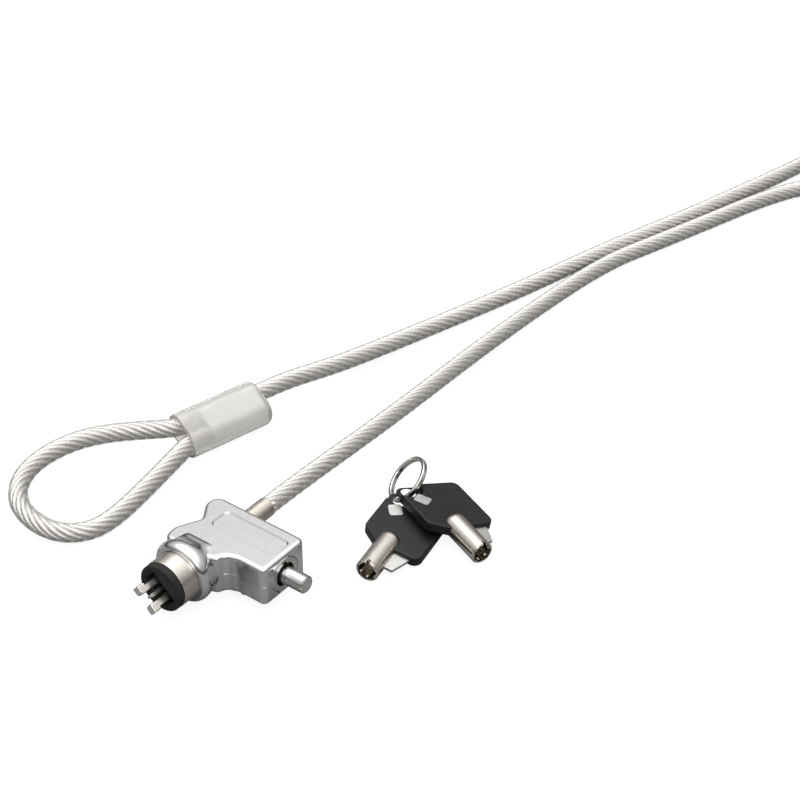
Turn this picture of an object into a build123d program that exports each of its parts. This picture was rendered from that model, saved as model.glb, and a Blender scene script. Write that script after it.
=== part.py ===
from build123d import *
from math import atan2, cos, degrees, pi, radians, sin, sqrt, tan
import os

# Laptop cable lock: a chrome lock head with a swivelling nose that grips a
# computer's security slot, a plunger lock with a tubular key, a sheathed steel
# cable with a crimped eye, and two keys on a split ring. Millimetres, +Z up.
#
# The head is drawn in its own datum: x = 0 and y = 0 on the crossing of the
# nose's axis and the rear half of the bar, z = 0 on the table. +X points to the
# keyed end, -Y out of the nose, +Y along the cable. save() moves every solid to
# the row's origin, at the bottom centre of the head and keys together.

# ---- driving dimensions ----
AXIS_Z = 9.6            # height of the nose, lock and cable axes above the table
BAR_THICK = 13.0        # die-cast bar, top to bottom
BAR_FRONT = -7.5        # y of the bar's front face
BAR_REAR = 10.2         # y of the bar's rear face
BAR_END = 23.0          # x of the keyed end
NECK_HALF = 9.6         # half width of the neck
LIP_Y = -16.8           # front rim of the collar
KEY_Y = 1.1             # y of the lock cylinder's axis

SLOT_TILT = 43.0        # how far the nose is turned in its collar, degrees
NOSE_R = 7.4            # nose barrel
NOSE_FRONT = -22.3      # front of the metal, where the pad sits on it
NOSE_REAR = -15.0
JOURNAL_R = 4.9         # the nose's bearing journal inside the head
JOURNAL_END = -4.9
RUN_GAP = 0.05          # radial clearance of a running fit
PAD_R = 7.3             # rubber face pad
PAD_FRONT = -24.6
SPIGOT_R = 6.2          # the pad's spigot in the barrel
SPIGOT_BACK = -21.0
SLOT_LONG = 10.0        # slot in the pad, long and short sides
SLOT_SHORT = 5.0
CHANNEL_LONG = 7.4      # claw channel through the journal
CHANNEL_SHORT = 3.4

CLAW_TIP = -30.8        # y of the claws' tips
CLAW_HOOK = 4.4         # half span over the claws' hooks
CLAW_OUT = 3.5          # outer and inner faces of the claws' shanks
CLAW_IN = 1.7
CLAW_HALF_Z = 1.4
CLAW_PIVOT = (2.6, -13.0)
CLAW_TAIL = -11.0
PIVOT_R = 0.6
PIN_TIP = -28.6         # y of the centre locking pin's tip
PIN_R = 1.4             # its round shank

CYL_R = 5.5             # lock cylinder
CYL_FRONT = 23.2
CYL_REAR = 6.0
KEYWAY_R = 3.65         # annular keyway round the plunger
CORE_R = 3.6
CORE_REAR = 13.6
CORE_FRONT = 17.6
PLUNGER_R = 2.65        # plunger's visible post
PLUNGER_TIP = 31.0
POST_BASE = 22.3
ROD_R = 1.85            # plunger's rod inside the cylinder
TRAVEL = 4.0            # plunger's stroke
RAMP = 0.6              # pin travel per plunger travel
WEDGE_FACE = -0.3       # y of the thin end of the wedge's ramp

SLEEVE_R = 3.0          # crimp sleeve on the cable's end
SLEEVE_END = 20.7

CABLE_D = 5.8           # sheathed cable
ROPE_R = 1.9            # bare steel rope inside it

HEAD_THICK = 3.2        # plastic key heads
KEY_R = 3.5             # tubular key shank
KEY_BORE = 2.7
KEY_LENGTH = 16.4
RING_R = 7.0            # split ring, middle of its wire
RING_HOLE = (-31.8, -5.0)

ROW_SHIFT = (-24.807, -18.026, -0.04)

# Cable route, centre line, head datum: from the crimp sleeve to the coil, from the
# coil to the ferrule, and round the eye. A stiff steel cable comes down slowly.
HEAD_RUN = [
    (0.0, 20.7, 9.6), (0.0, 36.0, 9.6), (0.4, 60.0, 8.8), (-0.6, 90.0, 6.7), (-2.4, 126.0, 4.4),
    (-2.3, 163.0, 3.1), (0.7, 201.0, 2.95), (8.0, 224.0, 2.95), (15.2, 248.0, 2.95),
    (22.0, 271.0, 2.95), (29.5, 288.6, 2.95), (38.9, 297.6, 3.1), (50.9, 302.5, 3.5),
    (62.0, 302.5, 3.55),
]
RETURN_RUN = [
    (22.7, 336.0, 3.55), (23.5, 322.0, 3.3), (22.2, 307.0, 2.95), (18.4, 289.5, 2.95),
    (13.4, 270.0, 2.95), (8.2, 249.0, 2.95), (1.8, 227.0, 2.95), (-4.4, 205.5, 2.95),
    (-14.6, 163.0, 2.95), (-26.4, 121.0, 3.4), (-32.2, 94.0, 5.4), (-37.64, 75.42, 7.47),
    (-40.75, 63.0, 7.47),
]
EYE_RUN = [
    (-46.16, 41.54, 7.47), (-47.74, 35.23, 7.47), (-55.8, 27.3, 7.6), (-62.9, 18.9, 8.2),
    (-67.5, 9.2, 8.8), (-69.6, -2.1, 8.6), (-67.9, -12.3, 7.8), (-61.8, -19.5, 6.2),
    (-52.9, -21.3, 4.4), (-44.2, -19.2, 3.2), (-38.1, -12.2, 2.95), (-37.7, -1.4, 3.0),
    (-39.4, 11.6, 3.5), (-41.0, 23.8, 4.3), (-42.46, 33.9, 4.93), (-40.88, 40.22, 4.93),
]
COIL_CENTRE = (62.0, 336.0)
COIL_RADII = (27.7, 33.5, 39.3)   # inner, middle and outer turns
COIL_BASE = 0.6                   # the coil lies on its 0.5 mm tie
TIE_THICK = 0.5
TIE_ANGLE = 55.0
FERRULE_LEFT = (-45.34, 33.6, 6.2)
FERRULE_DIR = (0.243, 0.970)
FERRULE_LONG = 29.6
FERRULE_TWIST = 25.0              # the two cable legs lie this far off level
SLEEVE_INSET = 7.5                # metal sleeve starts this far inside the cover
LEG_OFFSET = 3.0


def save(name, *solids):
    """Write one sub-part, moved from the head's datum to the row's origin."""
    shape = solids[0] if len(solids) == 1 else Compound(children=list(solids))
    export_step(Pos(*ROW_SHIFT) * shape, f"parts/{name}.step")


def rod_y(radius, y0, y1, x=0.0, z=AXIS_Z):
    """A cylinder along Y between two y values."""
    low = min(y0, y1)
    return Pos(x, low, z) * Rot(-90, 0, 0) * Cylinder(
        radius, abs(y1 - y0), align=(Align.CENTER, Align.CENTER, Align.MIN))


def rod_x(radius, x0, x1, y=KEY_Y, z=AXIS_Z):
    """A cylinder along X between two x values."""
    low = min(x0, x1)
    return Pos(low, y, z) * Rot(0, 90, 0) * Cylinder(
        radius, abs(x1 - x0), align=(Align.CENTER, Align.CENTER, Align.MIN))


def rod_z(radius, z0, z1, x=0.0, y=0.0):
    """A cylinder along Z between two z values."""
    return Pos(x, y, min(z0, z1)) * Cylinder(
        radius, abs(z1 - z0), align=(Align.CENTER, Align.CENTER, Align.MIN))


def block(x0, x1, y0, y1, z0, z1):
    """A box between two corners."""
    return Pos((x0 + x1) / 2, (y0 + y1) / 2, (z0 + z1) / 2) * Box(x1 - x0, y1 - y0, z1 - z0)


def turned(shape):
    """Nose pieces are drawn with their slot along X, then turned about the axis."""
    return Pos(0, 0, AXIS_Z) * Rot(0, SLOT_TILT, 0) * Pos(0, 0, -AXIS_Z) * shape


def spring(radius, wire, pitch, height):
    """A closed compression spring standing on Z = 0."""
    path = Helix(pitch=pitch, height=height, radius=radius)
    section = Plane(origin=path @ 0, z_dir=path % 0) * Circle(wire)
    return Pos(0, 0, wire) * sweep(section, path=path, is_frenet=True)


# ---- housing ----
# Corners of the housing seen from above, with the radius of each: the bar and its
# keyed end, the ear, the waist, and the front and right flank of the neck.
PLAN = [
    (BAR_END, BAR_FRONT, 2.0), (BAR_END, BAR_REAR, 2.0), (-9.9, BAR_REAR, 3.3), (-9.6, 5.2, 3.0),
    (-6.0, -0.2, 2.2), (-9.7, -7.4, 3.0), (-9.4, -12.6, 2.8), (5.5, -12.6, 4.0), (9.0, -11.2, 2.2),
    (10.2, -8.6, 2.8), (13.4, BAR_FRONT, 4.0),
]


def plan_outline():
    """Outline of the housing seen from above: bar, ear, waist and neck."""
    face = make_face(Polyline(*[(x, y) for x, y, _ in PLAN], close=True))
    for x, y, radius in PLAN:
        corner = face.vertices().sort_by_distance((x, y, 0))[0]
        face = fillet(corner, radius)
    return face


def neck():
    """The bulged neck and collar round the nose: a loft of rounded sections."""
    sections = [
        # y, half width, half height, roundness of the corners
        (LIP_Y, 8.6, 8.5, 0.985),
        (LIP_Y + 0.8, 9.3, 9.2, 0.985),
        (LIP_Y + 2.2, 9.6, 9.45, 0.985),
        (LIP_Y + 4.0, 9.3, 9.0, 0.985),
        (LIP_Y + 5.6, 9.2, 7.9, 0.985),
        (LIP_Y + 7.4, 9.3, 7.1, 0.97),
        (LIP_Y + 9.4, 9.2, 6.5, 0.9),
        (LIP_Y + 11.8, 8.8, 6.3, 0.8),
    ]
    faces = []
    for y, half_x, half_z, roundness in sections:
        plane = Plane(origin=(0, y, AXIS_Z), x_dir=(1, 0, 0), z_dir=(0, 1, 0))
        faces.append(plane * RectangleRounded(2 * half_x, 2 * half_z, roundness * half_z))
    return loft(faces)


PANEL_CENTRE = (9.2, 2.8)  # the recessed panel on top of the bar
PANEL_LONG = 23.6
PANEL_WIDE = 7.6
PANEL_DEEP = 0.45
GROOVE_HALF = 0.13         # parting line: half its height, and its depth
GROOVE_DEEP = 0.22


def parting_groove():
    """A fine groove round the housing where its two halves meet."""
    low = AXIS_Z - GROOVE_HALF
    slab = block(-40, 40, LIP_Y + 2, 40, low, low + 2 * GROOVE_HALF)
    inside = Pos(0, 0, low) * extrude(offset(plan_outline(), -GROOVE_DEEP), 2 * GROOVE_HALF)
    lip = NECK_HALF - GROOVE_DEEP
    return slab - inside - block(-lip, lip, LIP_Y, BAR_FRONT, low, low + 2 * GROOVE_HALF)


def housing_solid():
    """Outside of the die-cast housing before it is split and hollowed."""
    bar = Pos(0, 0, AXIS_Z - BAR_THICK / 2) * extrude(plan_outline(), BAR_THICK)
    rims = bar.edges().filter_by(lambda e: abs(e.center().Z - AXIS_Z) > BAR_THICK / 2 - 0.01)
    bar = fillet(rims, 1.3)
    body = bar + neck()
    body -= parting_groove()
    top = AXIS_Z + BAR_THICK / 2
    rim = Pos(*PANEL_CENTRE, top) * RectangleRounded(PANEL_LONG, PANEL_WIDE, 1.8)
    floor = Pos(*PANEL_CENTRE, top - PANEL_DEEP) * RectangleRounded(
        PANEL_LONG - 2 * PANEL_DEEP, PANEL_WIDE - 2 * PANEL_DEEP, 1.8 - PANEL_DEEP)
    return body - loft([floor, rim])


def housing_cavity():
    """All the room inside the housing, and its bores."""
    room = rod_y(JOURNAL_R + RUN_GAP, LIP_Y - 1, JOURNAL_END - 1.2)
    room += rod_y(NOSE_R + 0.12, LIP_Y - 1, NOSE_REAR + 0.1)
    room += rod_y(5.9, JOURNAL_END - 1.25, JOURNAL_END + 0.2)
    room += block(-5.5, CYL_REAR, JOURNAL_END, 4.9, AXIS_Z - 3.3, AXIS_Z + 3.3)
    room += rod_x(CYL_R + 0.01, CYL_REAR - 0.05, BAR_END + 1)
    room += rod_x(CYL_R + 0.25, BAR_END - 0.35, BAR_END + 1)
    room += rod_y(SLEEVE_R + 0.01, 4.8, BAR_REAR + 1)
    room += rod_y(4.2, 5.3, 6.8)
    return room


SCREWS = [(-6.9, 6.8), (19.3, 8.2), (14.6, -5.9)]
SCREW_R = 0.8
SCREW_HEAD_R = 1.5


def housing_parts():
    """Upper and lower half shells and the screws that hold them."""
    shell = housing_solid() - housing_cavity()
    low = AXIS_Z - BAR_THICK / 2
    for x, y in SCREWS:
        shell -= rod_z(SCREW_R + 0.01, low + 1, AXIS_Z + 3.1, x, y)
        shell -= rod_z(SCREW_HEAD_R + 0.08, low - 1, low + 1.45, x, y)
    shell -= rod_z(0.61, AXIS_Z + 4.0, AXIS_Z + BAR_THICK / 2 - 0.9, 15.6, KEY_Y)
    seam = 0.02
    upper = shell & block(-40, 40, -40, 40, AXIS_Z + seam / 2, 40)
    lower = shell & block(-40, 40, -40, 40, -5, AXIS_Z - seam / 2)
    save("housing_upper", upper)
    save("housing_lower", lower)
    screws = []
    for x, y in SCREWS:
        screw = rod_z(SCREW_R, low + 1.3, AXIS_Z + 3.0, x, y) + rod_z(SCREW_HEAD_R, low + 0.35, low + 1.4, x, y)
        drive = block(x - 0.95, x + 0.95, y - 0.17, y + 0.17, low, low + 0.85)
        drive += block(x - 0.17, x + 0.17, y - 0.95, y + 0.95, low, low + 0.85)
        screws.append(screw - drive)
    save("housing_screws", *screws)


# ---- nose ----
def nose_parts():
    """Swivelling nose: barrel, rubber pad, claws and pivots, locking pin."""
    barrel = rod_y(NOSE_R, NOSE_FRONT, NOSE_REAR)
    front = barrel.edges().sort_by(Axis.Y)[0]
    barrel = fillet(front, 0.2)
    barrel += rod_y(JOURNAL_R, NOSE_REAR - 0.5, JOURNAL_END)
    barrel -= rod_y(SPIGOT_R + 0.02, NOSE_FRONT - 1, SPIGOT_BACK)
    barrel -= rod_y(3.2, -9.0, JOURNAL_END + 1)
    barrel -= rod_y(PIN_R + RUN_GAP, -11, -8)
    half_long, half_short = SLOT_LONG / 2, SLOT_SHORT / 2
    barrel -= block(-half_long, half_long, NOSE_FRONT - 1, -17, AXIS_Z - half_short, AXIS_Z + half_short)
    half_long, half_short = CHANNEL_LONG / 2, CHANNEL_SHORT / 2
    barrel -= block(-half_long, half_long, -18, -10.4, AXIS_Z - half_short, AXIS_Z + half_short)
    groove = rod_y(JOURNAL_R + 1, JOURNAL_END - 0.95, JOURNAL_END - 0.15)
    groove -= rod_y(JOURNAL_R - 0.5, JOURNAL_END - 1, JOURNAL_END)
    barrel -= groove
    pivot_x, pivot_y = CLAW_PIVOT
    for side in (-1, 1):
        barrel -= rod_z(PIVOT_R, AXIS_Z - 3.65, AXIS_Z + 3.65, side * pivot_x, pivot_y)
    save("nose_barrel", turned(barrel))

    pad = rod_y(PAD_R, PAD_FRONT, NOSE_FRONT)
    pad = fillet(pad.edges().sort_by(Axis.Y)[0], 0.5)
    pad += rod_y(SPIGOT_R, NOSE_FRONT - 0.1, SPIGOT_BACK)
    pad -= block(-SLOT_LONG / 2, SLOT_LONG / 2, PAD_FRONT - 1, SPIGOT_BACK + 1,
                 AXIS_Z - SLOT_SHORT / 2, AXIS_Z + SLOT_SHORT / 2)
    save("nose_pad", turned(pad))

    clip = rod_y(5.6, JOURNAL_END - 0.9, JOURNAL_END - 0.2)
    clip -= rod_y(JOURNAL_R - 0.48, JOURNAL_END - 1, JOURNAL_END)
    clip -= block(-1.6, 1.6, -8, 0, AXIS_Z - 8, AXIS_Z - 2)
    save("nose_clip", turned(clip))

    pins = [rod_z(PIVOT_R, AXIS_Z - 3.6, AXIS_Z + 3.6, side * pivot_x, pivot_y) for side in (-1, 1)]
    save("claw_pivot_pins", *[turned(pin) for pin in pins])

    for side, name in ((-1, "claw_left"), (1, "claw_right")):
        save(name, turned(claw(side)))

    blade = block(-0.5, 0.5, PIN_TIP, -13.5, AXIS_Z - 1.1, AXIS_Z + 1.1)
    blade = chamfer(blade.edges().filter_by(Axis.Z).sort_by(Axis.Y)[0:2], 0.3)
    ball_y = WEDGE_FACE - 0.2 * RAMP - (PIN_R + 0.06) / cos(atan2(RAMP, 1))
    pin = blade + rod_y(PIN_R, -14, ball_y) + Pos(0, ball_y, AXIS_Z) * Sphere(PIN_R)
    pin += rod_y(2.9, -4.0, -3.2)
    save("locking_pin", turned(pin))
    coil = spring(2.4, 0.25, 1.1, 4.4)
    save("pin_spring", Pos(0, -8.98, AXIS_Z) * Rot(-90, 0, 0) * coil)


def claw(side):
    """One hooked claw: a flat shank on a pivot with a rounded hook outside."""
    pivot_x, pivot_y = CLAW_PIVOT
    low, high = AXIS_Z - CLAW_HALF_Z, AXIS_Z + CLAW_HALF_Z
    shank = block(CLAW_IN, CLAW_OUT, CLAW_TIP, CLAW_TAIL, low, high)
    hook = block(CLAW_IN, CLAW_HOOK, CLAW_TIP, CLAW_TIP + 2.3, low, high)
    body = shank + hook
    outer = rod_y(CLAW_HOOK + 0.6, CLAW_TIP - 1, CLAW_TAIL + 1, x=-0.6)
    body &= outer
    tips = body.edges().filter_by(Axis.Z).filter_by(lambda e: e.center().Y < CLAW_TIP + 0.01)
    body = fillet(tips, 0.85)
    rims = body.edges().filter_by(lambda e: e.center().Y < CLAW_TIP + 2.0 and abs(abs(e.center().Z - AXIS_Z) - CLAW_HALF_Z) < 0.01)
    body = fillet(rims, 0.3)
    body -= rod_z(PIVOT_R + RUN_GAP, low - 1, high + 1, pivot_x, pivot_y)
    return body if side > 0 else mirror(body, about=Plane.YZ)


# ---- lock ----
def lock_parts():
    """Cylinder, rotating core with its tumblers, plunger, spring and wedge."""
    body = rod_x(CYL_R, CYL_REAR, CYL_FRONT)
    body = chamfer(body.edges().sort_by(Axis.X)[-1], 0.4)
    body -= rod_x(KEYWAY_R, CORE_REAR, CYL_FRONT + 1)
    body -= rod_x(3.2, CYL_REAR + 0.7, CORE_REAR + 1)
    body -= rod_x(ROD_R + 0.08, CYL_REAR - 1, CYL_REAR + 1)
    notch = block(CYL_FRONT - 3, CYL_FRONT + 1, KEY_Y - 0.65, KEY_Y + 0.65, AXIS_Z + 2, AXIS_Z + KEYWAY_R + 0.75)
    body -= notch
    body -= rod_z(0.61, AXIS_Z + 3, AXIS_Z + 6, 15.6, KEY_Y)
    save("lock_cylinder", body)

    core = rod_x(CORE_R, CORE_REAR + 0.05, CORE_FRONT)
    core -= rod_x(ROD_R + 0.08, CORE_REAR - 1, CORE_FRONT + 1)
    core -= rod_x(CORE_R + 1, 14.85, 16.35) - rod_x(CORE_R - 0.35, 14.8, 16.4)
    for y, z in tumbler_places():
        core -= rod_x(0.42, CORE_REAR + 0.7, CORE_FRONT + 1, y, z)
    save("key_core", core)
    pins = [rod_x(0.4, CORE_FRONT - 1.3, CORE_FRONT + 0.35, y, z) for y, z in tumbler_places()]
    save("tumbler_pins", *pins)
    springs = []
    for y, z in tumbler_places():
        tube = rod_x(0.38, CORE_REAR + 0.75, CORE_FRONT - 1.32, y, z)
        springs.append(tube - rod_x(0.22, CORE_REAR, CORE_FRONT, y, z))
    save("tumbler_springs", *springs)

    pin = rod_z(0.6, AXIS_Z + CORE_R - 0.25, AXIS_Z + BAR_THICK / 2 - 0.95, 15.6, KEY_Y)
    save("cylinder_set_pin", pin)

    post = rod_x(PLUNGER_R, POST_BASE, PLUNGER_TIP)
    post = chamfer(post.edges().sort_by(Axis.X)[-1], 0.35)
    post -= block(PLUNGER_TIP - 0.8, PLUNGER_TIP + 1, KEY_Y - 3.2, KEY_Y - 2.1, AXIS_Z - 0.35, AXIS_Z + 0.35)
    post += Pos(POST_BASE - 0.3, KEY_Y, AXIS_Z) * Rot(0, 90, 0) * Cone(ROD_R, PLUNGER_R, 0.6)
    post += rod_x(ROD_R, 5.3, POST_BASE)
    groove = rod_x(ROD_R + 1, 13.0, 13.4) - rod_x(ROD_R - 0.3, 12.9, 13.5)
    save("plunger", post - groove)
    clip = rod_x(2.9, 13.03, 13.37) - rod_x(ROD_R - 0.28, 12.9, 13.5)
    clip -= block(12, 14, KEY_Y - 0.9, KEY_Y + 0.9, AXIS_Z - 4, AXIS_Z - 1)
    save("plunger_clip", clip)
    coil = spring(2.45, 0.25, 1.4, 5.75)
    save("plunger_spring", Pos(6.75, KEY_Y, AXIS_Z) * Rot(0, 90, 0) * coil)

    outline = Polyline((-1.2, WEDGE_FACE), (-0.2, WEDGE_FACE), (5.2, WEDGE_FACE - RAMP * 5.4),
                       (5.2, 4.6), (-1.2, 4.6), (-1.2, WEDGE_FACE))
    wedge = extrude(make_face(outline), 2.5, both=True)
    save("wedge", Pos(0, 0, AXIS_Z) * wedge)


def tumbler_places():
    """Six tumblers evenly spread round the core."""
    ring = 2.85
    return [(KEY_Y + ring * cos(radians(30 + 60 * k)), AXIS_Z + ring * sin(radians(30 + 60 * k))) for k in range(6)]


# ---- cable end in the head ----
def cable_end_parts():
    """Crimp sleeve, its swaged stop, and the bare rope inside."""
    sleeve = rod_y(SLEEVE_R, 5.0, SLEEVE_END)
    sleeve = chamfer(sleeve.edges().sort_by(Axis.Y)[-1], 0.25)
    sleeve += rod_y(4.1, 5.4, 6.7)
    sleeve -= rod_y(ROPE_R + 0.01, 4, SLEEVE_END + 1)
    save("cable_sleeve", sleeve)
    save("rope_end", rod_y(ROPE_R, 5.0, SLEEVE_END))


# ---- keys and ring ----
KEY_PLACES = {
    # mouth centre, yaw of the barrel, pitch of the mouth down, roll
    "key_a": ((36.02, 21.033, 3.614), -78.76, -0.3, -6.65),
    "key_b": ((58.17, 45.902, 4.892), -20.75, 2.26, -12.06),
}
RING_CENTRE = (22.288, 58.176, 6.569)
RING_NORMAL = (-0.5208, -0.5016, 0.6917)
WIRE_WIDE = 0.8         # split ring wire: one turn's width along the ring's axis
WIRE_THICK = 1.2        # and its radial thickness


def placed(name, shape):
    """Keys are drawn with the barrel along +X, mouth at the origin, then laid down."""
    mouth, yaw, pitch, roll = KEY_PLACES[name]
    turn = Pos(*mouth) * Rot(0, 0, yaw) * Rot(0, pitch, 0) * Rot(roll, 0, 0)
    return turn * shape


def along_x(radius, x0, x1):
    """A cylinder along X through the key's own origin."""
    return Pos(x0, 0, 0) * Rot(0, 90, 0) * Cylinder(
        radius, x1 - x0, align=(Align.CENTER, Align.CENTER, Align.MIN))


def key_parts(name):
    """A tubular key: plastic head, shank, flat bit fin and a plain inlay."""
    corners = [(-35, -8.8), (-31, 11.3), (-10, 11.3), (-11, -2.8), (-15.8, -8.9), (-35, -8.8)]
    face = make_face(Polyline(*corners))
    face = fillet(face.vertices(), 2.6)
    plate = Pos(0, 0, -HEAD_THICK / 2) * extrude(face, HEAD_THICK)
    rims = plate.edges().filter_by(lambda e: abs(abs(e.center().Z) - HEAD_THICK / 2) < 0.01)
    plate = fillet(rims, 0.6)

    tube = along_x(KEY_R, -KEY_LENGTH, 0)
    tube = fillet(tube.edges().sort_by(Axis.X)[0], 2.6)
    tube = chamfer(tube.edges().sort_by(Axis.X)[-1], 0.3)
    room = along_x(KEY_R + 0.01, -KEY_LENGTH - 0.01, 0)
    room = fillet(room.edges().sort_by(Axis.X)[0], 2.6)
    fin_face = make_face(Polyline((-15.0, 3.0), (-13.0, 9.0), (-11.9, 9.0), (-3.7, 6.1), (-4.0, 2.8), (-15.0, 3.0)))
    fin = Pos(0, 0, -0.45) * extrude(fin_face, 0.9)
    fin_room = Pos(0, 0, -0.46) * extrude(offset(fin_face, 0.01), 0.92)

    hole_x, hole_y = RING_HOLE
    head = plate - room - fin_room
    head -= Pos(hole_x, hole_y, 0) * Cylinder(2.3, HEAD_THICK + 2)
    for side in (-1, 1):
        head -= Pos(hole_x, hole_y, side * (HEAD_THICK / 2 + 0.4)) * Cylinder(4.2, 3.6)
    inlay_face = Pos(-26.0, -4.0) * Rot(0, 0, 35) * RectangleRounded(4.6, 4.0, 0.8)
    well = Pos(0, 0, HEAD_THICK / 2 - 0.5) * extrude(inlay_face, 1)
    head -= well
    inlay = Pos(0, 0, HEAD_THICK / 2 - 0.5) * extrude(inlay_face, 0.45)
    save(f"{name}_head", placed(name, head))
    save(f"{name}_inlay", placed(name, inlay))

    tube -= along_x(KEY_BORE, -9.0, 1)
    tube -= block(-1.3, 1, -0.5, 0.5, KEY_BORE - 0.2, KEY_R + 1)
    tube -= fin_room
    for k in range(7):
        angle = 25 + 360 / 7 * k
        tube -= Rot(angle, 0, 0) * Pos(0, 0, KEY_BORE + 0.1) * Rot(0, 90, 0) * Cylinder(0.35, 3.0)
    save(f"{name}_tube", placed(name, tube))
    save(f"{name}_fin", placed(name, fin))


def split_ring():
    """Two turns of flat wire as one closed body with its two stepped ends."""
    lower = Cylinder(RING_R + WIRE_THICK / 2, WIRE_WIDE) - Cylinder(RING_R - WIRE_THICK / 2, 5)
    ring = Pos(0, 0, WIRE_WIDE / 2) * lower + Pos(0, 0, -WIRE_WIDE / 2) * lower
    edges = ring.edges().filter_by(GeomType.CIRCLE)
    ring = fillet(edges.filter_by(lambda e: abs(e.center().Z) > WIRE_WIDE - 0.01), 0.35)
    seam = Cylinder(RING_R + 2, 0.12) - Cylinder(RING_R + WIRE_THICK / 2 - 0.25, 1)
    seam += Cylinder(RING_R - WIRE_THICK / 2 + 0.25, 0.12)
    ring -= seam
    step = Rot(0, 0, 62) * Pos(RING_R, 0, WIRE_WIDE / 2) * Box(4, 0.5, WIRE_WIDE)
    ring -= step
    step = Rot(0, 0, 80) * Pos(RING_R, 0, -WIRE_WIDE / 2) * Box(4, 0.5, WIRE_WIDE)
    ring -= step
    normal = Vector(*RING_NORMAL)
    frame = Plane(origin=RING_CENTRE, x_dir=normal.cross(Vector(0, 1, 0)), z_dir=normal)
    return frame * ring


# ---- cable ----
def bend_radii(points):
    """Corner radii that leave a straight piece between neighbouring bends."""
    radii = []
    for before, corner, after in zip(points, points[1:], points[2:]):
        run_in, run_out = corner - before, after - corner
        turn = radians(run_in.get_angle(run_out))
        short = min(run_in.length, run_out.length)
        radii.append(0.45 * short / tan(turn / 2))
    return radii


def tube_along(points, diameter, label):
    """A closed tube with rounded corners along a route."""
    points = [Vector(*p) for p in points]
    radii = bend_radii(points)
    print(label, "bend radii, mm:", *[round(r) for r in radii])
    path = FilletPolyline(*points, radius=radii)
    return sweep(Plane(origin=path @ 0, z_dir=path % 0) * Circle(diameter / 2), path=path)


def coil_profile(grow=0.0, stepped=True):
    """Section of the coil: three turns side by side below, two above."""
    half = CABLE_D / 2
    inner, middle, outer = COIL_RADII
    x0, x1, x2 = inner - half, middle + half, outer + half
    z0, z1, z2 = COIL_BASE, COIL_BASE + CABLE_D, COIL_BASE + 2 * CABLE_D
    corner = [(x2, z1), (x1, z1), (x1, z2)] if stepped else [(x2, z1), (x1, z2)]
    points = [(x0, z0), (x2, z0), *corner, (x0, z2), (x0, z0)]
    face = make_face(Plane.XZ * Polyline(*points))
    return offset(face, grow) if grow else face


def around_coil(face, start, arc):
    """Turn a section round the coil's own axis."""
    centre_x, centre_y = COIL_CENTRE
    return Pos(centre_x, centre_y, 0) * Rot(0, 0, start) * revolve(face, Axis.Z, arc)


def cable_parts():
    """The sheathed cable: two open runs, the eye, and the put-away coil."""
    head_run = tube_along(HEAD_RUN, CABLE_D, "head run")
    return_run = tube_along(RETURN_RUN, CABLE_D, "return run")
    eye = tube_along(EYE_RUN, CABLE_D, "eye")
    half = CABLE_D / 2
    inner, middle, outer = COIL_RADII
    z0, z1, z2 = COIL_BASE, COIL_BASE + CABLE_D, COIL_BASE + 2 * CABLE_D
    two_turns = Plane.XZ * Pos((inner + middle) / 2, (z0 + z2) / 2) * RectangleRounded(
        middle - inner + CABLE_D, z2 - z0, half * 0.9)
    outer_turn = Plane.XZ * Pos(outer - half, (z0 + z1) / 2) * RectangleRounded(CABLE_D * 2, CABLE_D, half * 0.9)
    coil = around_coil(two_turns, 0, 360) + around_coil(outer_turn, -90, 270)
    save("cable_head_run", head_run)
    save("cable_return_run", return_run)
    save("cable_eye", eye)
    save("cable_coil", coil)

    hull = coil_profile(0, stepped=False)
    band = coil_profile(TIE_THICK, stepped=False) - hull
    save("coil_tie", around_coil(band, TIE_ANGLE, 14))


def oval(width, height, z0, z1):
    """A bar of obround section between two z values."""
    return Pos(0, 0, z0) * extrude(RectangleRounded(width, height, height / 2 - 0.01), z1 - z0)


def ferrule_parts():
    """Two-leg crimp: metal sleeve, clear cover, and the cable legs inside."""
    dir_x, dir_y = FERRULE_DIR
    frame = Plane(origin=FERRULE_LEFT, x_dir=Vector(dir_y, -dir_x, 0), z_dir=Vector(dir_x, dir_y, 0))
    turn = Location(frame) * Rot(0, 0, FERRULE_TWIST)
    long_leg = FERRULE_LONG - SLEEVE_INSET
    legs = []
    for side, length in ((-1, long_leg), (1, long_leg - 3.0)):
        leg = Cylinder(CABLE_D / 2, length, align=(Align.CENTER, Align.CENTER, Align.MIN))
        legs.append(turn * Pos(side * LEG_OFFSET, 0, SLEEVE_INSET) * leg)
    save("cable_crimped_legs", *legs)

    through = Pos(-LEG_OFFSET, 0, 0) * Cylinder(CABLE_D / 2 + 0.01, 80)
    tail = Pos(LEG_OFFSET, 0, 0) * Cylinder(
        CABLE_D / 2 + 0.01, FERRULE_LONG - 3.0, align=(Align.CENTER, Align.CENTER, Align.MIN))
    sleeve = oval(13.2, 8.2, SLEEVE_INSET, FERRULE_LONG - 2.2) - through - tail
    save("ferrule_sleeve", turn * sleeve)
    cover = oval(15.2, 10.2, 0, FERRULE_LONG)
    cover = fillet(cover.edges().group_by(Axis.Z)[-1], 2.4)
    cover = fillet(cover.edges().group_by(Axis.Z)[0], 0.5)
    cover -= oval(13.22, 8.22, -1, FERRULE_LONG - 2.19)
    save("ferrule_cover", turn * (cover - through))


os.makedirs("parts", exist_ok=True)
housing_parts()
nose_parts()
lock_parts()
cable_end_parts()
key_parts("key_a")
key_parts("key_b")
save("split_ring", split_ring())
cable_parts()
ferrule_parts()
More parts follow.
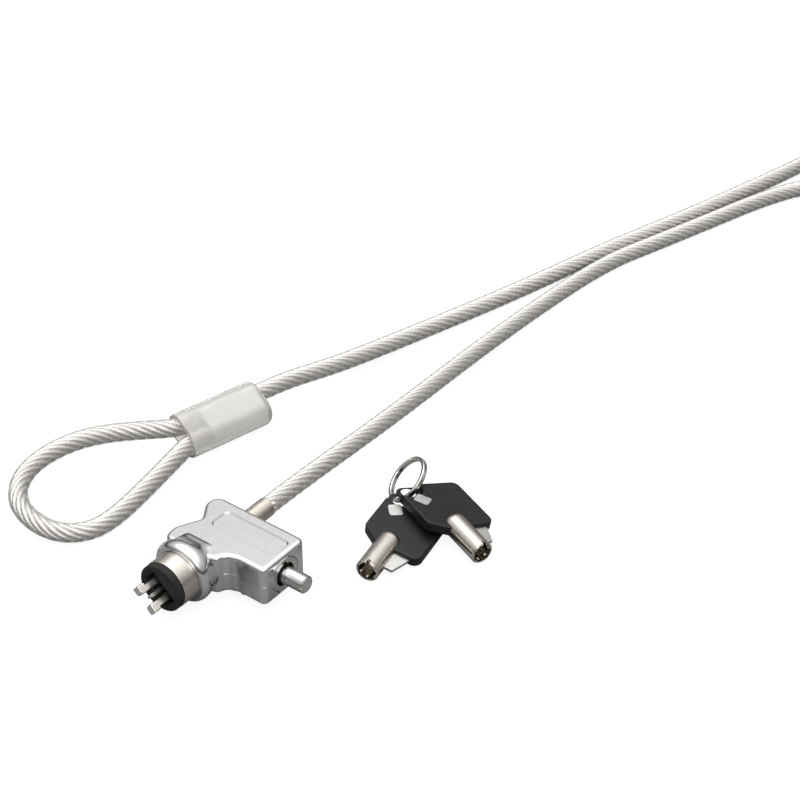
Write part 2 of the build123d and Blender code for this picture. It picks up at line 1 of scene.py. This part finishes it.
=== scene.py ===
from math import cos, pi, radians, sin
import bpy
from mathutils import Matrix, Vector


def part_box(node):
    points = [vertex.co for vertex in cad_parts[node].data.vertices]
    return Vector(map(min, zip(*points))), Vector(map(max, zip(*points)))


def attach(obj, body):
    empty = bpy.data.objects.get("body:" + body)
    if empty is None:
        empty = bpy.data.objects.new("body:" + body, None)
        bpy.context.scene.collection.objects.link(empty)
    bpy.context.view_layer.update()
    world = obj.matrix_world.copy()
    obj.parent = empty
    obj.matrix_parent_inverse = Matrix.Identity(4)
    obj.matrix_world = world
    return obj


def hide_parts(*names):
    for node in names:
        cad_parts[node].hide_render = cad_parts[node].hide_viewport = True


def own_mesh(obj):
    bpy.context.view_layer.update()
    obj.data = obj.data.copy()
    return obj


# Laptop cable lock: looks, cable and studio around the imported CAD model.
# Metres, in the frame of the CAD. "Head datum" is the crossing of the nose's and
# the lock's axes, on the table, as the model's source has it.

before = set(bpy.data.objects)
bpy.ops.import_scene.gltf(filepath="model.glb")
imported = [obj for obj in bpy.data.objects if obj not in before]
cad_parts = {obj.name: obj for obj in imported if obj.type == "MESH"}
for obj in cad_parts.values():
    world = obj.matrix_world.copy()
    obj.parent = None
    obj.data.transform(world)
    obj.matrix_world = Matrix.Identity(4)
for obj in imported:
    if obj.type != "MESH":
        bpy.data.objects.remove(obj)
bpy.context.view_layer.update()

MM = 0.001
SLEEVE_END_Y = 20.7 * MM           # cable sleeve's end, from the head datum
low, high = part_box("cable_sleeve")
AXIS_HEIGHT = 9.6 * MM             # height of the cable's and nose's axes over the datum
HEAD = Vector(((low[0] + high[0]) / 2, high[1] - SLEEVE_END_Y, (low[2] + high[2]) / 2 - AXIS_HEIGHT))


def at(x, y, z):
    """A point given in millimetres from the head datum, in the row frame."""
    return HEAD + Vector((x, y, z)) * MM


# ---------------------------------------------------------------- camera
CAMERA_AZIMUTH = 37.4
CAMERA_HEIGHT = 36.0
CAMERA_LENS = 89.2
CAMERA_PLACE = (300.13, -308.96, 370.15)


def add_camera():
    data = bpy.data.cameras.new("camera")
    data.lens = CAMERA_LENS
    data.sensor_width = 36.0
    data.clip_start = 0.01
    data.clip_end = 20.0
    camera = bpy.data.objects.new("camera", data)
    camera.location = at(*CAMERA_PLACE)
    camera.rotation_euler = (radians(90.0 - CAMERA_HEIGHT), 0.0, radians(CAMERA_AZIMUTH))
    bpy.context.collection.objects.link(camera)
    bpy.context.scene.camera = camera
    return camera


add_camera()

# ---------------------------------------------------------------- cable route
CABLE_D = 5.8
HEAD_RUN = [
    (0.0, 20.7, 9.6), (0.0, 36.0, 9.6), (0.4, 60.0, 8.8), (-0.6, 90.0, 6.7), (-2.4, 126.0, 4.4),
    (-2.3, 163.0, 3.1), (0.7, 201.0, 2.95), (8.0, 224.0, 2.95), (15.2, 248.0, 2.95),
    (22.0, 271.0, 2.95), (29.5, 288.6, 2.95), (38.9, 297.6, 3.1), (50.9, 302.5, 3.5),
]
RETURN_RUN = [
    (23.5, 322.0, 3.3), (22.2, 307.0, 2.95), (18.4, 289.5, 2.95),
    (13.4, 270.0, 2.95), (8.2, 249.0, 2.95), (1.8, 227.0, 2.95), (-4.4, 205.5, 2.95),
    (-14.6, 163.0, 2.95), (-26.4, 121.0, 3.4), (-32.2, 94.0, 5.4), (-37.64, 75.42, 7.47),
    (-40.75, 63.0, 7.47),
]
EYE_RUN = [
    (-46.16, 41.54, 7.47), (-47.74, 35.23, 7.47), (-55.8, 27.3, 7.6), (-62.9, 18.9, 8.2),
    (-67.5, 9.2, 8.8), (-69.6, -2.1, 8.6), (-67.9, -12.3, 7.8), (-61.8, -19.5, 6.2),
    (-52.9, -21.3, 4.4), (-44.2, -19.2, 3.2), (-38.1, -12.2, 2.95), (-37.7, -1.4, 3.0),
    (-39.4, 11.6, 3.5), (-41.0, 23.8, 4.3), (-42.46, 33.9, 4.93), (-40.88, 40.22, 4.93),
]
TAIL_END = (-36.3, 58.6, 4.93)     # the cut end inside the crimp
COIL_CENTRE = (62.0, 336.0)
COIL_INNER, COIL_MIDDLE, COIL_OUTER = 27.7, 33.5, 39.3
COIL_BASE = 0.6 + CABLE_D / 2
POINTS_PER_TURN = 16
COIL_TURNS = 4.75
COIL_START = -90.0                 # angle of the coil's first point, degrees


def coil_points():
    """Turns of the put-away coil: out on the table, in, up, out again, and off."""
    # radius and layer at the start of each turn; the last three quarters run outside
    stations = [(0.0, COIL_MIDDLE, 0.0), (0.85, COIL_MIDDLE, 0.0), (1.0, COIL_INNER, 0.0),
                (1.9, COIL_INNER, 0.0), (2.1, COIL_INNER, 1.0), (2.9, COIL_INNER, 1.0),
                (3.05, COIL_MIDDLE, 1.0), (3.9, COIL_MIDDLE, 1.0), (4.12, COIL_OUTER, 0.0),
                (COIL_TURNS, COIL_OUTER, 0.0)]
    points = []
    total = int(COIL_TURNS * POINTS_PER_TURN)
    for k in range(total + 1):
        turn = k / POINTS_PER_TURN
        for (t0, r0, l0), (t1, r1, l1) in zip(stations, stations[1:]):
            if t0 <= turn <= t1 + 1e-9:
                share = (turn - t0) / (t1 - t0)
                radius = r0 + (r1 - r0) * share
                layer = l0 + (l1 - l0) * share
                break
        angle = radians(COIL_START) + turn * 2 * pi
        x = COIL_CENTRE[0] + radius * cos(angle)
        y = COIL_CENTRE[1] + radius * sin(angle)
        points.append((x, y, COIL_BASE + layer * CABLE_D))
    return points


def route_curve(name, points, bevel):
    """One open NURBS spline through the route's points."""
    data = bpy.data.curves.new(name, "CURVE")
    data.dimensions = "3D"
    spline = data.splines.new("NURBS")
    spline.points.add(len(points) - 1)
    for slot_point, point in zip(spline.points, points):
        slot_point.co = (*at(*point), 1.0)
    spline.order_u = 3
    spline.use_endpoint_u = True
    spline.resolution_u = 8
    data.bevel_depth = bevel
    data.bevel_resolution = 5
    data.use_fill_caps = True
    obj = bpy.data.objects.new(name, data)
    bpy.context.collection.objects.link(obj)
    return obj


def centre_line(points):
    """Points read from the smooth spline, from the head to the crimp."""
    probe = route_curve("probe", points, 0.0)
    mesh = bpy.data.meshes.new_from_object(probe)
    line = [v.co.copy() for v in mesh.vertices]
    bpy.data.meshes.remove(mesh)
    bpy.data.objects.remove(probe)
    return line


ROUTE = HEAD_RUN + coil_points() + RETURN_RUN + EYE_RUN + [TAIL_END]
LINE = centre_line(ROUTE)
length = sum((b - a).length for a, b in zip(LINE, LINE[1:]))
print("cable centre line, m:", round(length, 3), "points", len(LINE))

# ---------------------------------------------------------------- materials
CAST_GRAIN = 90.0       # noise scale of a casting's waviness
RING_GRAIN = 5200.0     # noise scale of turned rings


def new_material(name, metallic=0.0, roughness=0.4, **sockets):
    """A material with one Principled shader; constants sit on its own sockets."""
    material = bpy.data.materials.new(name)
    material.use_nodes = True
    shader = material.node_tree.nodes["Principled BSDF"]
    shader.inputs["Metallic"].default_value = metallic
    shader.inputs["Roughness"].default_value = roughness
    for label, value in sockets.items():
        shader.inputs[label.replace("_", " ")].default_value = value
    return material, material.node_tree, shader


def local_point(tree):
    """Texture coordinates in the piece's own space, in metres."""
    return tree.nodes.new("ShaderNodeTexCoord").outputs["Object"]


def noise(tree, vector, scale, detail=3.0, rough=0.5, distortion=0.0):
    node = tree.nodes.new("ShaderNodeTexNoise")
    node.inputs["Scale"].default_value = scale
    node.inputs["Detail"].default_value = detail
    node.inputs["Roughness"].default_value = rough
    node.inputs["Distortion"].default_value = distortion
    tree.links.new(vector, node.inputs["Vector"])
    return node.outputs["Fac"]


def along(tree, vector, axis):
    """Distance along an axis, as a vector that is the same all round it."""
    dot = tree.nodes.new("ShaderNodeVectorMath")
    dot.operation = "DOT_PRODUCT"
    dot.inputs[1].default_value = axis
    tree.links.new(vector, dot.inputs[0])
    join = tree.nodes.new("ShaderNodeCombineXYZ")
    tree.links.new(dot.outputs["Value"], join.inputs["X"])
    return join.outputs["Vector"]


def ranged(tree, value, low, high, from_low=0.3, from_high=0.7):
    """The value mapped from one range to another; a noise seldom leaves 0.3 to 0.7."""
    node = tree.nodes.new("ShaderNodeMapRange")
    node.inputs["From Min"].default_value = from_low
    node.inputs["From Max"].default_value = from_high
    node.inputs["To Min"].default_value = low
    node.inputs["To Max"].default_value = high
    tree.links.new(value, node.inputs["Value"])
    return node.outputs["Result"]


def blend_colour(tree, value, dark, light):
    """From one colour to another over a noise's usual range."""
    node = tree.nodes.new("ShaderNodeValToRGB")
    node.color_ramp.elements[0].position = 0.3
    node.color_ramp.elements[1].position = 0.7
    node.color_ramp.elements[0].color = (*dark, 1.0)
    node.color_ramp.elements[1].color = (*light, 1.0)
    tree.links.new(value, node.inputs["Fac"])
    return node.outputs["Color"]


def grey_ramp(tree, stops):
    """A ramp of greys from (place, grey) stops."""
    ramp = tree.nodes.new("ShaderNodeValToRGB")
    elements = ramp.color_ramp.elements
    while len(elements) < len(stops):
        elements.new(0.5)
    for element, (place, grey) in zip(elements, stops):
        element.position = place
        element.color = (grey, grey, grey, 1.0)
    return ramp


def bump(tree, shader, value, height, strength=1.0, under=None):
    """Bump of a given height in metres; `under` is a bump it adds to."""
    node = tree.nodes.new("ShaderNodeBump")
    node.inputs["Strength"].default_value = strength
    node.inputs["Distance"].default_value = height
    tree.links.new(value, node.inputs["Height"])
    if under is not None:
        tree.links.new(under, node.inputs["Normal"])
    tree.links.new(node.outputs["Normal"], shader.inputs["Normal"])
    return node.outputs["Normal"]


def metal(name, dark, light, rough, grain=900.0, bump_height=1e-5, cast=0.0, axis=None, rings=0.0, **more):
    """Metal with mottled colour and polish, a cast waviness and turned rings. Heights are in metres."""
    material, tree, shader = new_material(name, metallic=1.0, roughness=rough[0], **more)
    point = local_point(tree)
    mottle = noise(tree, point, grain, 4.0)
    tree.links.new(blend_colour(tree, mottle, dark, light), shader.inputs["Base Color"])
    worn = noise(tree, point, grain * 0.35, 5.0, 0.6)
    tree.links.new(ranged(tree, worn, *rough), shader.inputs["Roughness"])
    normal = bump(tree, shader, mottle, bump_height)
    if cast:
        wave = noise(tree, point, CAST_GRAIN, 1.0, 0.4)
        normal = bump(tree, shader, wave, cast, under=normal)
    if axis:
        ring = noise(tree, along(tree, point, axis), RING_GRAIN, 4.0, 0.7)
        bump(tree, shader, ring, rings, under=normal)
    return material


def plastic(name, dark, light, rough, grain, height, **more):
    """Moulded plastic or rubber with a fine texture and slight colour variation."""
    material, tree, shader = new_material(name, roughness=rough[0], **more)
    point = local_point(tree)
    tone = noise(tree, point, 220.0, 4.0)
    tree.links.new(blend_colour(tree, tone, dark, light), shader.inputs["Base Color"])
    fine = noise(tree, point, grain, 3.0, 0.6)
    tree.links.new(ranged(tree, fine, *rough), shader.inputs["Roughness"])
    bump(tree, shader, fine, height)
    return material


def key_axis(name):
    """About the direction of a key's barrel: from its middle to its farthest point."""
    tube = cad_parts[name + "_tube"]
    points = [v.co for v in tube.data.vertices]
    middle = sum(points, Vector()) / len(points)
    far = max(points, key=lambda p: (p - middle).length)
    return tuple((far - middle).normalized())


def dress(material, *names):
    """Give CAD nodes a material."""
    for name in names:
        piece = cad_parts[name]
        if not piece.material_slots:
            piece.data.materials.append(material)
        for slot in piece.material_slots:
            slot.material = material


ALONG_X, ALONG_Y = (1.0, 0.0, 0.0), (0.0, 1.0, 0.0)
CHROME_TONES = ((0.79, 0.78, 0.78), (0.85, 0.84, 0.84))
NICKEL_TONES = ((0.66, 0.62, 0.56), (0.76, 0.72, 0.66))
STEEL_TONES = ((0.62, 0.61, 0.59), (0.74, 0.73, 0.71))

dress(metal("cast_chrome", *CHROME_TONES, (0.05, 0.11), grain=700.0, bump_height=2e-6, cast=6e-5),
      "housing_upper", "housing_lower")
dress(metal("barrel_nickel", *NICKEL_TONES, (0.24, 0.36), axis=ALONG_Y, rings=1.2e-5), "nose_barrel")
dress(metal("sleeve_nickel", (0.58, 0.53, 0.46), (0.68, 0.63, 0.56), (0.28, 0.42),
            axis=ALONG_Y, rings=1.5e-5),
      "cable_sleeve")
dress(metal("claw_steel", (0.82, 0.79, 0.72), (0.92, 0.89, 0.83), (0.18, 0.30), bump_height=6e-6),
      "claw_left", "claw_right", "locking_pin", "claw_pivot_pins")
dress(metal("lock_steel", *STEEL_TONES, (0.16, 0.28), axis=ALONG_X, rings=8e-6), "lock_cylinder", "plunger")
dress(metal("screw_steel", (0.42, 0.42, 0.43), (0.56, 0.56, 0.57), (0.25, 0.4)),
      "housing_screws", "cylinder_set_pin", "plunger_clip", "nose_clip", "wedge")
dress(metal("spring_steel", (0.35, 0.35, 0.36), (0.5, 0.5, 0.5), (0.25, 0.4)),
      "plunger_spring", "pin_spring", "tumbler_springs")
dress(metal("core_steel", (0.10, 0.10, 0.10), (0.18, 0.18, 0.18), (0.3, 0.45)), "key_core")
dress(metal("pin_brass", (0.62, 0.47, 0.2), (0.76, 0.6, 0.3), (0.22, 0.36)), "tumbler_pins")
dress(metal("ring_nickel", (0.74, 0.73, 0.70), (0.86, 0.85, 0.82), (0.12, 0.24), bump_height=6e-6),
      "split_ring")
dress(metal("strand_steel", (0.52, 0.51, 0.49), (0.72, 0.71, 0.68), (0.2, 0.34)), "rope_end")
dress(metal("crimp_aluminium", (0.88, 0.88, 0.87), (0.94, 0.94, 0.93), (0.3, 0.45), bump_height=2e-5,
            Metallic=0.4),
      "ferrule_sleeve")
dress(metal("inlay_silver", (0.56, 0.55, 0.54), (0.7, 0.69, 0.67), (0.34, 0.5), bump_height=1.5e-5),
      "key_a_inlay", "key_b_inlay")
for key in ("key_a", "key_b"):
    dress(metal(key + "_nickel", *NICKEL_TONES, (0.16, 0.28), axis=key_axis(key), rings=7e-6), key + "_tube")
    dress(metal(key + "_fin_steel", (0.58, 0.57, 0.55), (0.7, 0.69, 0.67), (0.3, 0.45), bump_height=1.2e-5),
          key + "_fin")
dress(plastic("key_plastic", (0.006, 0.006, 0.007), (0.012, 0.012, 0.013), (0.30, 0.44), 2600.0, 1.2e-5,
              Specular_IOR_Level=0.35),
      "key_a_head", "key_b_head")
dress(plastic("pad_rubber", (0.012, 0.012, 0.012), (0.03, 0.029, 0.028), (0.62, 0.85), 1800.0, 6e-5,
              Specular_IOR_Level=0.3), "nose_pad")
dress(plastic("tie_strap", (0.012, 0.012, 0.013), (0.03, 0.03, 0.032), (0.5, 0.7), 1500.0, 4e-5), "coil_tie")
dress(plastic("ferrule_pvc", (0.94, 0.93, 0.89), (0.97, 0.96, 0.93), (0.10, 0.16), 400.0, 8e-6,
              Transmission_Weight=0.70, IOR=1.45), "ferrule_cover")


def squash_spring(name):
    """A coil spring gets its own copy of its mesh."""
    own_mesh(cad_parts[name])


squash_spring("plunger_spring")
squash_spring("pin_spring")

# ---------------------------------------------------------------- cable looks
WIRES = 8
WIRE_RING = 2.0         # centre radius of the rope's outer strands, mm
WIRE_R = 0.76           # drawn larger than life, as a clear sheath magnifies its rope
LAY = 26.0              # length of one turn of the rope's lay, mm
WIRE_SIDES = 8
FRAME_STEP = 1.3        # spacing of the wires' sections, mm


def even_points(line, step):
    """The line's points at an even spacing."""
    points, carried = [line[0].copy()], 0.0
    for a, b in zip(line, line[1:]):
        run = (b - a).length
        reach = step - carried
        while reach <= run:
            points.append(a.lerp(b, reach / run))
            reach += step
        carried = run - (reach - step)
    return points


def wire_mesh(name, line):
    """Helical wires and their core, laid round the line with a frame that doesn't twist."""
    points = even_points(line, FRAME_STEP * MM)
    verts, faces = [], []
    side = Vector((1.0, 0.0, 0.0))
    frames = []
    for k, point in enumerate(points):
        ahead = points[min(k + 1, len(points) - 1)] - points[max(k - 1, 0)]
        ahead.normalize()
        side = (side - ahead * side.dot(ahead)).normalized()
        frames.append((point, side.copy(), ahead.cross(side), ahead.copy()))
    strands = [(WIRE_RING, WIRE_R, 2 * pi * k / WIRES, 1.0) for k in range(WIRES)]
    strands.append((0.0, WIRE_RING - 0.3 * WIRE_R, 0.0, 0.0))
    for ring, radius, start, lay in strands:
        base = len(verts)
        for k, (point, u, v, w) in enumerate(frames):
            turn = start + lay * 2 * pi * k * FRAME_STEP / LAY
            out = u * cos(turn) + v * sin(turn)
            round_it = (v * cos(turn) - u * sin(turn))
            slope = w * (2 * pi * ring / LAY) * lay
            across = (round_it - slope).normalized()
            centre = point + out * ring * MM
            for j in range(WIRE_SIDES):
                a = 2 * pi * j / WIRE_SIDES
                verts.append(centre + (out * cos(a) + across * sin(a)) * radius * MM)
        for k in range(len(frames) - 1):
            for j in range(WIRE_SIDES):
                a = base + k * WIRE_SIDES + j
                b = base + k * WIRE_SIDES + (j + 1) % WIRE_SIDES
                faces.append((a, b, b + WIRE_SIDES, a + WIRE_SIDES))
        last = base + (len(frames) - 1) * WIRE_SIDES
        faces.append(tuple(base + j for j in reversed(range(WIRE_SIDES))))
        faces.append(tuple(last + j for j in range(WIRE_SIDES)))
    mesh = bpy.data.meshes.new(name)
    mesh.from_pydata([tuple(v) for v in verts], [], faces)
    mesh.polygons.foreach_set("use_smooth", [True] * len(mesh.polygons))
    piece = bpy.data.objects.new(name, mesh)
    bpy.context.collection.objects.link(piece)
    return piece


wires = wire_mesh("cable_wires", LINE)
wires.data.materials.append(
    metal("wire_steel", (0.76, 0.74, 0.72), (0.93, 0.91, 0.89), (0.22, 0.34), grain=1600.0, bump_height=1e-5,
          Metallic=0.7))
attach(wires, "housing")


def clear_sheath(name):
    """Clear PVC seen as a glossy skin: nearly invisible face on, grey at its edges. The grey there is
    painted shade, a grey base colour standing in for the dark rim refraction gives a clear tube; the skin's
    gloss is real.
    """
    # these grey colours are painted shade for the tube's edges; the facing ramp below mixes them in towards
    # the rim
    material = plastic(name, (0.50, 0.49, 0.47), (0.58, 0.57, 0.55), (0.08, 0.16), 300.0, 1.5e-5)
    tree = material.node_tree
    shader = tree.nodes["Principled BSDF"]
    through = tree.nodes.new("ShaderNodeBsdfTransparent")
    through.inputs["Color"].default_value = (0.97, 0.97, 0.96, 1.0)
    facing = tree.nodes.new("ShaderNodeLayerWeight")
    facing.inputs["Blend"].default_value = 0.5
    ramp = grey_ramp(tree, [(0.0, 0.08), (0.6, 0.15), (0.88, 0.55), (1.0, 0.90)])
    mix = tree.nodes.new("ShaderNodeMixShader")
    tree.links.new(facing.outputs["Facing"], ramp.inputs["Fac"])
    tree.links.new(ramp.outputs["Color"], mix.inputs["Fac"])
    tree.links.new(through.outputs["BSDF"], mix.inputs[1])
    tree.links.new(shader.outputs["BSDF"], mix.inputs[2])
    tree.links.new(mix.outputs["Shader"], tree.nodes["Material Output"].inputs["Surface"])
    return material


sheath = route_curve("cable_sheath", ROUTE, CABLE_D / 2 * MM)
sheath.data.materials.append(clear_sheath("sheath_pvc"))
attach(sheath, "housing")
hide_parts("cable_head_run", "cable_coil", "cable_return_run", "cable_eye", "cable_crimped_legs")


# ---------------------------------------------------------------- studio
def add_floor():
    """Plain pale floor."""
    size, parts = 6.0, 24
    verts = [((i / parts - 0.5) * size, (j / parts - 0.5) * size, 0.0)
             for j in range(parts + 1) for i in range(parts + 1)]
    row = parts + 1
    faces = [(j * row + i, j * row + i + 1, (j + 1) * row + i + 1, (j + 1) * row + i)
             for j in range(parts) for i in range(parts)]
    mesh = bpy.data.meshes.new("floor")
    mesh.from_pydata(verts, [], faces)
    floor = bpy.data.objects.new("floor", mesh)
    bpy.context.collection.objects.link(floor)
    material = plastic("floor_paper", (0.21, 0.21, 0.21), (0.23, 0.23, 0.23), (0.85, 0.95), 60.0, 0.0)
    # a light table: it glows seen plainly or through plastic, and metal mirrors it as a grey sheet
    tree = material.node_tree
    shader = tree.nodes["Principled BSDF"]
    shader.inputs["Emission Color"].default_value = (1.0, 1.0, 1.0, 1.0)
    glow = tree.nodes.new("ShaderNodeMath")
    glow.operation = "MULTIPLY"
    glow.inputs[1].default_value = FLOOR_GLOW
    ray = tree.nodes.new("ShaderNodeLightPath")
    seen = tree.nodes.new("ShaderNodeMath")
    seen.operation = "MAXIMUM"
    tree.links.new(ray.outputs["Is Camera Ray"], seen.inputs[0])
    tree.links.new(ray.outputs["Is Transmission Ray"], seen.inputs[1])
    tree.links.new(seen.outputs["Value"], glow.inputs[0])
    tree.links.new(glow.outputs["Value"], shader.inputs["Emission Strength"])
    mesh.materials.append(material)


def add_softbox(name, place, size, power, colour=(1.0, 1.0, 1.0)):
    """An area light aimed at the head."""
    data = bpy.data.lights.new(name, "AREA")
    data.shape = "RECTANGLE"
    data.size, data.size_y = size
    data.energy = power
    data.color = colour
    light = bpy.data.objects.new(name, data)
    light.location = HEAD + Vector(place)
    aim = HEAD - light.location
    light.rotation_euler = aim.to_track_quat("-Z", "Y").to_euler()
    bpy.context.collection.objects.link(light)


def add_world():
    """A pale studio: dark near the horizon, grey above it, bright overhead."""
    world = bpy.data.worlds.new("studio")
    world.use_nodes = True
    tree = world.node_tree
    back = tree.nodes["Background"]
    point = tree.nodes.new("ShaderNodeTexCoord").outputs["Generated"]
    split = tree.nodes.new("ShaderNodeSeparateXYZ")
    tree.links.new(point, split.inputs["Vector"])
    ramp = grey_ramp(tree, [(0.0, 0.03), (0.14, 0.045), (0.30, 0.19), (0.56, 0.31), (0.8, 0.62), (1.0, 1.0)])
    tree.links.new(split.outputs["Z"], ramp.inputs["Fac"])
    tree.links.new(ramp.outputs["Color"], back.inputs["Color"])
    back.inputs["Strength"].default_value = WORLD_STRENGTH
    bpy.context.scene.world = world


WORLD_STRENGTH = 2.1
FLOOR_GLOW = 0.88
add_floor()
add_world()
add_softbox("key_light", (-0.5, 0.3, 1.4), (1.0, 1.0), 5.0)
add_softbox("fill_light", (1.1, -0.9, 1.1), (0.7, 0.7), 2.5)
bpy.context.scene.view_settings.view_transform = "Standard"
